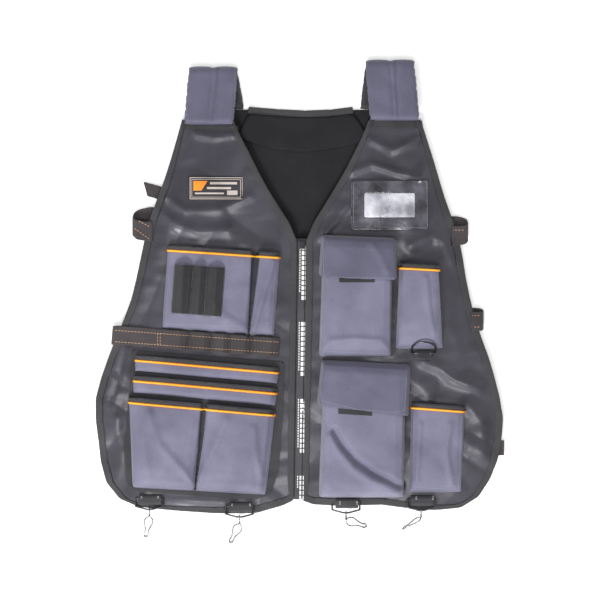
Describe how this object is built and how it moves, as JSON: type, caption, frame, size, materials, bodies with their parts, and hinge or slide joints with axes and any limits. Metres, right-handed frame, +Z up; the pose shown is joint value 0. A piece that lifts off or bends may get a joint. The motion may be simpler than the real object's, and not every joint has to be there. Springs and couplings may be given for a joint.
{
  "type": "utility work vest",
  "caption": "Sleeveless zip-front work vest with padded shoulders, mesh back, bellows and flap pockets, tool webbing loops, a D-ring and snap hooks along the hem, laid flat on its back.",
  "frame": {"origin": "middle of the vest's outline as it lies, on the surface under it", "axes": "+Z up from the surface, out of the chest; +Y from the hem towards the shoulders; +X towards the right of the picture, the wearer's left"},
  "size_m": [0.5328, 0.6324, 0.0392],
  "materials": {
    "panel": "coated charcoal polyester, soft sheen",
    "mesh": "black knitted mesh",
    "binding": "dark grey binding tape",
    "pocket": "grey-violet ripstop polyester",
    "piping": "yellow-orange piping cord",
    "webbing": "dark brown-grey webbing with light edge stitching",
    "elastic": "black elastic",
    "glossy": "glossy black vinyl",
    "clear": "clear vinyl window over a pale insert",
    "tape": "mid-grey zip tape and coil",
    "label": "dark woven patch with a plain design",
    "wire": "dull nickel-plated wire"
  },
  "bodies": {
    "root": {"back_panel": "mesh", "neck_binding": "binding", "neck_pad": "mesh", "front_panel_left": "panel", "front_panel_right": "panel", "front_binding_left": "binding", "front_binding_right": "binding", "shoulder_pad_left": "pocket", "shoulder_pad_right": "pocket", "zipper_tape": "tape", "zipper_coil": "tape", "zipper_slider": "wire", "chest_label": "label", "card_holder": "glossy", "card_window": "clear", "pocket_backing": "binding", "chest_pocket": "pocket", "chest_pocket_binding": "binding", "chest_pocket_piping": "piping", "tier_pocket_1": "pocket", "tier_pocket_1_binding": "binding", "tier_pocket_1_piping": "piping", "tier_pocket_2": "pocket", "tier_pocket_2_binding": "binding", "tier_pocket_2_piping": "piping", "tier_pocket_3": "pocket", "tier_pocket_3_binding": "binding", "tier_pocket_3_piping": "piping", "upper_flap_pocket": "pocket", "side_pocket": "pocket", "side_pocket_binding": "binding", "side_pocket_piping": "piping", "lower_flap_pocket": "pocket", "small_pocket": "pocket", "small_pocket_binding": "binding", "small_pocket_piping": "piping", "upper_flap": "pocket", "lower_flap": "pocket", "pen_loops": "elastic", "tool_webbing": "webbing", "side_loop_left": "webbing", "side_loop_right": "webbing", "strap_tab_left": "webbing", "strap_tab_right": "webbing", "strap_tab_low": "webbing", "d_ring_tab": "webbing", "d_ring": "wire", "hook_tab_1": "webbing", "hook_ring_1": "wire", "hook_snap_1": "wire", "hook_tab_2": "webbing", "hook_ring_2": "wire", "hook_snap_2": "wire", "hook_tab_3": "webbing", "hook_ring_3": "wire", "hook_snap_3": "wire", "hook_tab_4": "webbing", "hook_ring_4": "wire", "hook_snap_4": "wire"}
  },
  "joints": []
}
